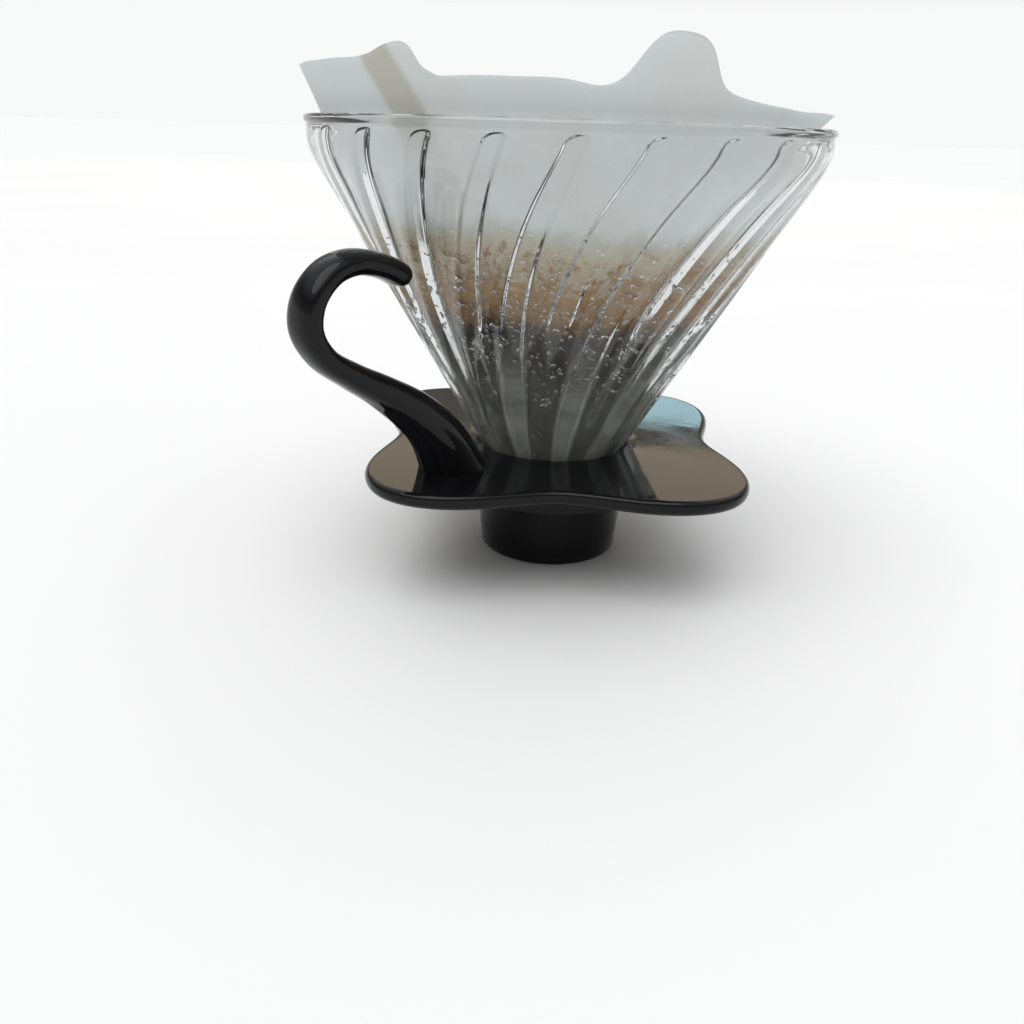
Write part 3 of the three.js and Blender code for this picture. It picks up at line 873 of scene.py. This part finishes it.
def build_bed():
    """The bed: grounds packed against the paper, banked up it, with a hollow middle."""
    cols = BED_COLUMNS
    angle = np.arange(cols) / cols * 2 * math.pi
    rng = np.random.default_rng(5)
    rows = []
    foot_z = float(cone_z(BED_FOOT_R + WALL + RIB_STAND + 2 * GAP + PAPER_ROOM))
    edge_z, side = BED_EDGE, bed_side
    for z in np.linspace(foot_z, edge_z - 1.2, 46):
        rows.append((np.full(cols, float(side(z))), np.full(cols, z)))
    ragged = 0.5 * np.sin(angle * 7 + 1) + 0.4 * np.sin(angle * 17 + 2)
    ragged = ragged + 0.25 * rng.standard_normal(cols)
    top_z = edge_z - 0.9 + 0.8 * ragged
    rows.append((side(top_z), top_z))
    inner = [
        (side(edge_z) - 1.3, edge_z - 0.9),
        (side(edge_z - 4) - 2.2, edge_z - 4),
        (side(edge_z - 9) - 4.4, edge_z - 9),
        (side(edge_z - 15) - 9.2, edge_z - 15),
        (14.5, edge_z - 17.9),
        (8.5, edge_z - 19.2),
        (0.4, edge_z - 19.8),
    ]
    path = np.array([(float(r), float(z)) for r, z in inner])
    lengths = np.concatenate([[0], np.cumsum(np.hypot(*np.diff(path, axis=0).T))])
    for s in np.linspace(0, lengths[-1], 120):
        r = np.interp(s, lengths, path[:, 0])
        z = np.interp(s, lengths, path[:, 1])
        x, y = r * np.cos(angle), r * np.sin(angle)
        rough = 0.16 * lumps(x, y + z, 3, 0.55) + 0.09 * lumps(x, y - z, 8, 2.1)
        rough = rough + 0.05 * rng.standard_normal(cols) * min(1.0, r / 4)
        fade = min(1.0, r / 2.0)
        rows.append((r - 0.5 * rough * fade, z + 0.8 * rough * fade - 0.2))
    last_z = rows[-1][1].mean()
    bed = bowl_object("spent_grounds", rows, angle, foot_z, last_z, GROUNDS_LOOK)
    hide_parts("coffee_bed")
    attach(bed, "filter")


# ------------------------------ holder
LOBES = 4
LOBE_R = 55.0
NOTCH_R = 39.4
NOTCH_POWER = 0.95
EDGE_UNDER_R = 1.9  # rounding of the saucer's edge, below and above
EDGE_TOP_R = 1.3
HANDLE_SAMPLES = 200
HANDLE_SIDES = 56
HANDLE_HALF_W = 4.4  # half width and half thickness of the hook, and what the root adds
HANDLE_HALF_T = 2.5
HANDLE_ROOT_W = 2.8
HANDLE_ROOT_T = 4.6
HANDLE_ROOT_FROM = 0.42  # where along its length the handle starts to grow
HANDLE_SQUARE = 0.82  # below 1 the section is squarer than an ellipse
HANDLE_NOSE = 26  # the rounded tip takes one part in this many of the length
HANDLE_SPINE = 0.7  # height of the soft ridge along the handle's back
HANDLE_LINE = [  # centre line of the handle in the XZ plane, from its tip to its root
    (-47.3, 71.3), (-51, 73.6), (-55.5, 75.2), (-60.5, 75.8), (-66, 74.2), (-70.3, 69.6),
    (-71.2, 64), (-68.2, 58.6), (-61.6, 53.9), (-53.8, 49.3), (-45.8, 43.8), (-38.9, 36.6),
    (-33.8, 27.4),
]


def saucer_edge(angle):
    notch = ((1 - np.cos(LOBES * angle)) / 2) ** NOTCH_POWER
    return LOBE_R - (LOBE_R - NOTCH_R) * notch


def seat_r(z):
    return float(cone_r(z)) + 2.0 + 2 * GAP


def holder_profile():
    """Rows of the holder's closed section: ("c", radius, z) is round, and ("e", inset, z)
    follows the lobed edge; ("m", share, z) lies between the hub and the edge."""
    # the lip over the gasket, the gasket's seat and the funnel down to the neck
    rows = [(float(cone_r(z)) + GAP, z) for z in (SAUCER_TOP - 0.25, COVER_Z + 0.15)]
    rows += [(float(cone_r(COVER_Z)) + GAP + 0.15, COVER_Z)]
    rows += [(seat_r(z), z) for z in (COVER_Z, 25, 23, 22.1)]
    rows += [(seat_r(22) - 0.1, 22), (15.9, 22), (15.7, 21.8), (15.7, 18.6)]
    rows += [(12.5, 16.0), (12.3, 15.7), (12.3, 13.8), (12.5, 13.6)]
    # the bore for the gland ring, washer and lock ring, and the hub's flat foot
    rows += [(14.7, 13.6), (14.9, 13.4), (14.9, 8), (14.9, 0.6)]
    rows += [(15.4, 0.05), (15.6, 0), (16.9, 0), (17.3, 0.12)]
    # the outside of the hub, flaring into the saucer
    rows += [(17.6, 0.5), (18.1, 6), (18.6, 12), (19.6, 16), (20.9, 19.6)]
    rows += [(22.4, 22.4), (24.4, 24.4), (25.4, UNDERSIDE)]
    # the locating ring under the saucer
    rows += [(27.6, UNDERSIDE), (27.8, UNDERSIDE - 0.2), (27.8, 19.4), (28.1, 19.05)]
    rows += [(28.3, 19), (29.5, 19), (29.8, 19.08), (30, 19.4), (30, UNDERSIDE - 0.4)]
    rows += [(30.4, UNDERSIDE)]
    rows = [("c", radius, z) for radius, z in rows]
    # the saucer's underside, rounded edge and top
    rows += [("m", s, UNDERSIDE) for s in (0.3, 0.6)] + [("e", 2.4, UNDERSIDE)]
    rounded = arc(-EDGE_UNDER_R, UNDERSIDE + EDGE_UNDER_R, EDGE_UNDER_R, -90, 0, 8)
    rounded += arc(-EDGE_TOP_R, SAUCER_TOP - EDGE_TOP_R, EDGE_TOP_R, 0, 90, 9)
    rows += [("e", -outward, z) for outward, z in rounded]
    rows += [("e", 1.8, SAUCER_TOP), ("e", 2.6, SAUCER_TOP)]
    rows += [("m", s, SAUCER_TOP) for s in (0.75, 0.5, 0.25)]
    rows += [("c", 26, SAUCER_TOP), ("c", 22, SAUCER_TOP)]
    rows += [("c", float(cone_r(SAUCER_TOP)) + GAP + 0.5, SAUCER_TOP)]
    rows += [("c", float(cone_r(SAUCER_TOP)) + GAP + 0.15, SAUCER_TOP - 0.07)]
    return rows


def bool_apply(target, tool, operation):
    """Cuts or joins tool into target, keeping the result in target's mesh."""
    modifier = target.modifiers.new("cut", "BOOLEAN")
    modifier.operation = operation
    modifier.solver = "EXACT"
    modifier.object = tool
    bpy.context.view_layer.update()
    evaluated = target.evaluated_get(bpy.context.evaluated_depsgraph_get())
    result = bpy.data.meshes.new_from_object(evaluated)
    target.modifiers.remove(modifier)
    target.data = result
    bpy.data.objects.remove(tool)
    bpy.context.view_layer.update()


def between(a, b, t, start, end):
    return (end - t) / (end - start) * a + (t - start) / (end - start) * b


def spline(points, samples):
    """A centripetal Catmull-Rom curve through points, sampled evenly along its length."""
    pts = np.array(points, float)
    pts = np.vstack([2 * pts[0] - pts[1], pts, 2 * pts[-1] - pts[-2]])
    out = []
    for i in range(1, len(pts) - 2):
        p0, p1, p2, p3 = pts[i - 1 : i + 3]
        t0 = 0.0
        t1 = t0 + math.sqrt(np.linalg.norm(p1 - p0))
        t2 = t1 + math.sqrt(np.linalg.norm(p2 - p1))
        t3 = t2 + math.sqrt(np.linalg.norm(p3 - p2))
        for t in np.linspace(t1, t2, 40, endpoint=False):
            a1, a2 = between(p0, p1, t, t0, t1), between(p1, p2, t, t1, t2)
            a3 = between(p2, p3, t, t2, t3)
            b1, b2 = between(a1, a2, t, t0, t2), between(a2, a3, t, t1, t3)
            out.append(between(b1, b2, t, t1, t2))
    out = np.array(out + [pts[-2]])
    run = np.concatenate([[0], np.cumsum(np.linalg.norm(np.diff(out, axis=0), axis=1))])
    even = np.linspace(0, run[-1], samples)
    return np.stack([np.interp(even, run, out[:, k]) for k in range(2)], axis=1)


def handle_object():
    """The hooked handle, swept along its centre line from a rounded tip to a broad root."""
    samples, sides = HANDLE_SAMPLES, HANDLE_SIDES
    line = spline(HANDLE_LINE, samples)
    along = np.gradient(line, axis=0)
    along /= np.linalg.norm(along, axis=1, keepdims=True)
    turn = np.linspace(0, 2 * math.pi, sides, endpoint=False)
    points = []
    for i in range(samples):
        t = i / (samples - 1)
        nose = max(math.sqrt(1 - (1 - min(1.0, t * HANDLE_NOSE)) ** 2), 0.05)
        flare = max(0.0, (t - HANDLE_ROOT_FROM) / (1 - HANDLE_ROOT_FROM)) ** 1.6
        half_w = (HANDLE_HALF_W + HANDLE_ROOT_W * flare) * nose
        half_t = (HANDLE_HALF_T + HANDLE_ROOT_T * flare) * nose
        c, s = np.cos(turn), np.sin(turn)
        wide = half_w * np.sign(c) * np.abs(c) ** HANDLE_SQUARE
        thick = half_t * np.sign(s) * np.abs(s) ** HANDLE_SQUARE
        spine = HANDLE_SPINE * smoothstep((t - 0.55) / 0.2) * (s > 0)
        thick = thick + spine * np.exp(-((wide / 1.1) ** 2))
        x = line[i][0] + thick * along[i][1]
        z = line[i][1] - thick * along[i][0]
        points += list(zip(x, wide, z))
    faces = grid_faces(samples, sides, False)
    faces.append(tuple(reversed(range(sides))))
    faces.append(tuple((samples - 1) * sides + j for j in range(sides)))
    return mesh_object("handle_tool", points, faces, HOLDER_LOOK, 60)


def build_holder():
    cols = 320
    angle = np.arange(cols) / cols * 2 * math.pi
    edge = saucer_edge(angle)
    points = []
    for kind, value, z in holder_profile():
        if kind == "c":
            radius = np.full(cols, value)
        elif kind == "e":
            radius = edge - value
        else:
            start = 26 if z > UNDERSIDE + 1 else 31
            radius = start + (edge - 2.6 - start) * value
        points.append(around(radius, angle, z))
    faces = grid_faces(len(points), cols, True)
    holder = mesh_object("holder_moulding", np.concatenate(points), faces, HOLDER_LOOK, 40)
    bool_apply(holder, handle_object(), "UNION")
    smooth(holder.data, 40)
    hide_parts("holder")
    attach(holder, "holder")


# ------------------------------ seals and lock ring
RING_BORE_R = 12.1
RING_OUTER_R = 14.6
GASKET_LOW = 22.3
GASKET_W = 2.0
GLAND_Z = (10.3, 13.3)
WASHER_Z = (9.0, 10.0)
LOCK_Z = (1.0, 8.7)
SLOT_HALF = 1.7  # half the width of the lock ring's two crossed slots
SLOT_TOP = 3.2


def rounded_band(inner, outer, low, high, round_by=0.35):
    """A rectangular ring section with rounded corners."""
    b = round_by
    profile = arc(outer - b, high - b, b, 0, 90, 4) + arc(inner + b, high - b, b, 90, 180, 4)
    profile += arc(inner + b, low + b, b, 180, 270, 4)
    return profile + arc(outer - b, low + b, b, 270, 360, 4)


def build_seals():
    low, high = GASKET_LOW, COVER_Z - GAP
    inner_low, inner_high = float(cone_r(low)) + GAP, float(cone_r(high)) + GAP
    gasket = ring_object(
        "seat_gasket_moulded",
        [
            (inner_high + 0.3, high), (inner_high, high - 0.3), (inner_low, low + 0.2),
            (inner_low + 0.2, low), (inner_low + GASKET_W - 0.2, low),
            (inner_low + GASKET_W, low + 0.2),
            (inner_high + GASKET_W, high - 0.3), (inner_high + GASKET_W - 0.3, high),
        ],
        SILICONE_LOOK,
    )
    band = rounded_band(RING_BORE_R, RING_OUTER_R, *GLAND_Z)
    gland = ring_object("gland_ring_moulded", band, SILICONE_LOOK)
    band = rounded_band(RING_BORE_R, RING_OUTER_R, *WASHER_Z, 0.12)
    washer = ring_object("slip_washer_cut", band, NATURAL_LOOK)
    band = rounded_band(RING_BORE_R + 0.1, RING_OUTER_R, *LOCK_Z, 0.3)
    ring = ring_object("lock_ring_moulded", band, RING_LOOK)
    for angle in (0, math.pi / 2):
        bool_apply(ring, slot_cutter(angle), "DIFFERENCE")
    smooth(ring.data, 35)
    for piece, node, body, slot in (
        (gasket, "seat_gasket", "holder", "black_silicone"),
        (gland, "gland_ring", "holder", "black_silicone"),
        (washer, "slip_washer", "washer", "natural_plastic"),
        (ring, "lock_ring", "lock_ring", "ring_plastic"),
    ):
        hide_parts(node)
        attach(piece, body)


def slot_cutter(angle):
    """A bar across the lock ring's lower edge, turned about the axis."""
    long, half = 30.0, SLOT_HALF
    outline = ((-long, -half), (long, -half), (long, half), (-long, half))
    corners = [(x, y, z) for z in (-1.2, SLOT_TOP) for x, y in outline]
    c, s = math.cos(angle), math.sin(angle)
    points = [(x * c - y * s, x * s + y * c, z) for x, y, z in corners]
    faces = [(3, 2, 1, 0), (4, 5, 6, 7)]
    faces += [(i, (i + 1) % 4, (i + 1) % 4 + 4, i + 4) for i in range(4)]
    return mesh_object("slot_tool", points, faces, RING_LOOK)


build_holder()
build_seals()
build_glass()
build_droplets()
build_paper()
build_bed()


# ------------------------------ stage and light
def stage_look():
    n = Nodes("stage_look")
    cloud = n.span(n.noise(3, 3, 0.5))
    n.set(Base_Color=n.mix(cloud, (0.76, 0.76, 0.76), (0.79, 0.79, 0.79)), Roughness=0.7)
    return n.material


FLOOR_HALF = 30.0  # metres
FLOOR_DROP = 0.0002


def build_stage():
    mesh = bpy.data.meshes.new("floor")
    sides = ((-1, -1), (1, -1), (1, 1), (-1, 1))
    corners = [(x * FLOOR_HALF, y * FLOOR_HALF, 0) for x, y in sides]
    mesh.from_pydata(corners, [], [(0, 1, 2, 3)])
    mesh.materials.append(stage_look())
    floor = show(bpy.data.objects.new("floor", mesh))
    floor.location.z = -FLOOR_DROP


def direction_to(azimuth, elevation):
    """A unit vector from angles in degrees; azimuth 0 is towards -Y."""
    a, e = math.radians(azimuth), math.radians(elevation)
    return Vector((math.sin(a) * math.cos(e), -math.cos(a) * math.cos(e), math.sin(e)))


def lamp(name, kind, power, colour, way):
    """A light that shines along a direction."""
    data = bpy.data.lights.new(name, kind)
    data.energy = power
    data.color = colour
    light = show(bpy.data.objects.new(name, data))
    light.rotation_euler = way.to_track_quat("-Z", "Y").to_euler()
    return light


def area_light(name, azimuth, elevation, size, power, colour):
    """A soft light placed round the object, aimed at the middle of the cone."""
    aim = Vector((AXIS_X, 0, 0.06))
    place = aim + LIGHT_DISTANCE * direction_to(azimuth, elevation)
    light = lamp(name, "AREA", power, colour, aim - place)
    light.location = place
    light.data.shape = "RECTANGLE"
    light.data.size, light.data.size_y = size


LIGHT_DISTANCE = 2.4
WORLD_RISE = [  # colour of the room by the upward part of the direction
    (0.0, (0.94, 0.945, 0.945)), (0.11, (0.94, 0.945, 0.945)), (0.25, (0.33, 0.30, 0.26)),
    (0.42, (0.42, 0.41, 0.40)), (0.55, (1.25, 1.28, 1.30)), (1.0, (1.05, 1.07, 1.08)),
]
WORLD_SIDE = (0.15, 0.15, 0.15)


def build_world():
    """A soft room: pale walls low down, a dim band above them and a bright ceiling."""
    world = bpy.data.worlds.new("studio")
    world.use_nodes = True
    tree = world.node_tree
    add, link = tree.nodes.new, tree.links.new
    background = tree.nodes["Background"]
    direction = add("ShaderNodeTexCoord")

    def span_of(socket, low, high, to_low, to_high):
        node = add("ShaderNodeMapRange")
        node.interpolation_type = "SMOOTHSTEP"
        fill(node, From_Min=low, From_Max=high, To_Min=to_low, To_Max=to_high)
        link(socket, node.inputs["Value"])
        return node.outputs["Result"]

    def product(a, b):
        node = add("ShaderNodeMath")
        node.operation = "MULTIPLY"
        link(a, node.inputs[0])
        link(b, node.inputs[1])
        return node.outputs[0]

    split = add("ShaderNodeSeparateXYZ")
    link(direction.outputs["Generated"], split.inputs[0])
    ramp = add("ShaderNodeValToRGB")
    fill_ramp(ramp, WORLD_RISE)
    link(split.outputs["Z"], ramp.inputs["Fac"])
    along = add("ShaderNodeVectorMath")
    along.operation = "DOT_PRODUCT"
    along.inputs[1].default_value = direction_to(CAMERA_AZIMUTH + 180, 0)
    link(direction.outputs["Generated"], along.inputs[0])
    off_side = span_of(along.outputs["Value"], 0.35, 0.75, 1, 0)
    low = span_of(split.outputs["Z"], 0.35, 0.9, 1, 0)
    above_horizon = span_of(split.outputs["Z"], 0.26, 0.42, 0, 1)
    dim_side = product(off_side, product(low, above_horizon))
    mix = add("ShaderNodeMix")
    mix.data_type = "RGBA"
    link(dim_side, mix.inputs[0])
    link(ramp.outputs["Color"], mix.inputs[6])
    mix.inputs[7].default_value = (*WORLD_SIDE, 1)
    link(mix.outputs[2], background.inputs["Color"])
    bpy.context.scene.world = world


def sun_light(name, azimuth, elevation, strength, angle, colour):
    """A broad soft overhead light that reaches the whole floor evenly."""
    light = lamp(name, "SUN", strength, colour, -direction_to(azimuth, elevation))
    light.data.angle = math.radians(angle)


def build_light():
    build_world()
    sun_light("overhead", CAMERA_AZIMUTH - 30, 68, 1.5, 55, (1.0, 0.995, 0.985))
    behind = CAMERA_AZIMUTH + 180
    area_light("warm_strip", behind, 21.3, (1.9, 0.30), 1.95, (1.0, 0.78, 0.54))
    area_light("back_window", behind - 7.2, 14.6, (0.29, 0.125), 0.31, (0.55, 0.9, 1.0))
    bpy.context.scene.view_settings.view_transform = "Standard"


build_stage()
build_light()

# ------------------------------ finish
bpy.context.view_layer.update()
